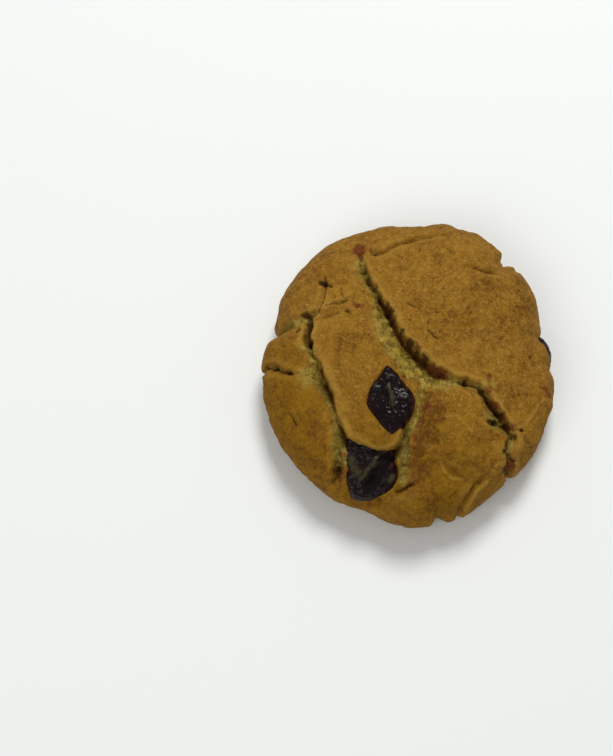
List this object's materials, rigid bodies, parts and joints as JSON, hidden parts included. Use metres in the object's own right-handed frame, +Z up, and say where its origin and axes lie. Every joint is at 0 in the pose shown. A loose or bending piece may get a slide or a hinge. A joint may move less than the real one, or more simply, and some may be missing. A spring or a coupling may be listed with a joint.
{
  "type": "coconut cookie",
  "caption": "Thick round soft-baked cookie with a cracked golden-brown crust, open crumb in the cracks and dark fruit pieces set in its top and side.",
  "frame": {"origin": "middle of the flat base, on the surface that the cookie rests on", "axes": "+Z up through the top crust; +Y points away from the two fruit pieces near the rim, towards the crust's unbroken far edge"},
  "size_m": [0.0988, 0.1079, 0.0304],
  "materials": {
    "dough": "matte baked crust",
    "fruit": "sticky gloss"
  },
  "bodies": {
    "root": {"dough": "dough", "fruit_diamond": "fruit", "fruit_under_tongue": "fruit", "fruit_lower": "fruit", "fruit_side": "fruit"}
  },
  "joints": []
}
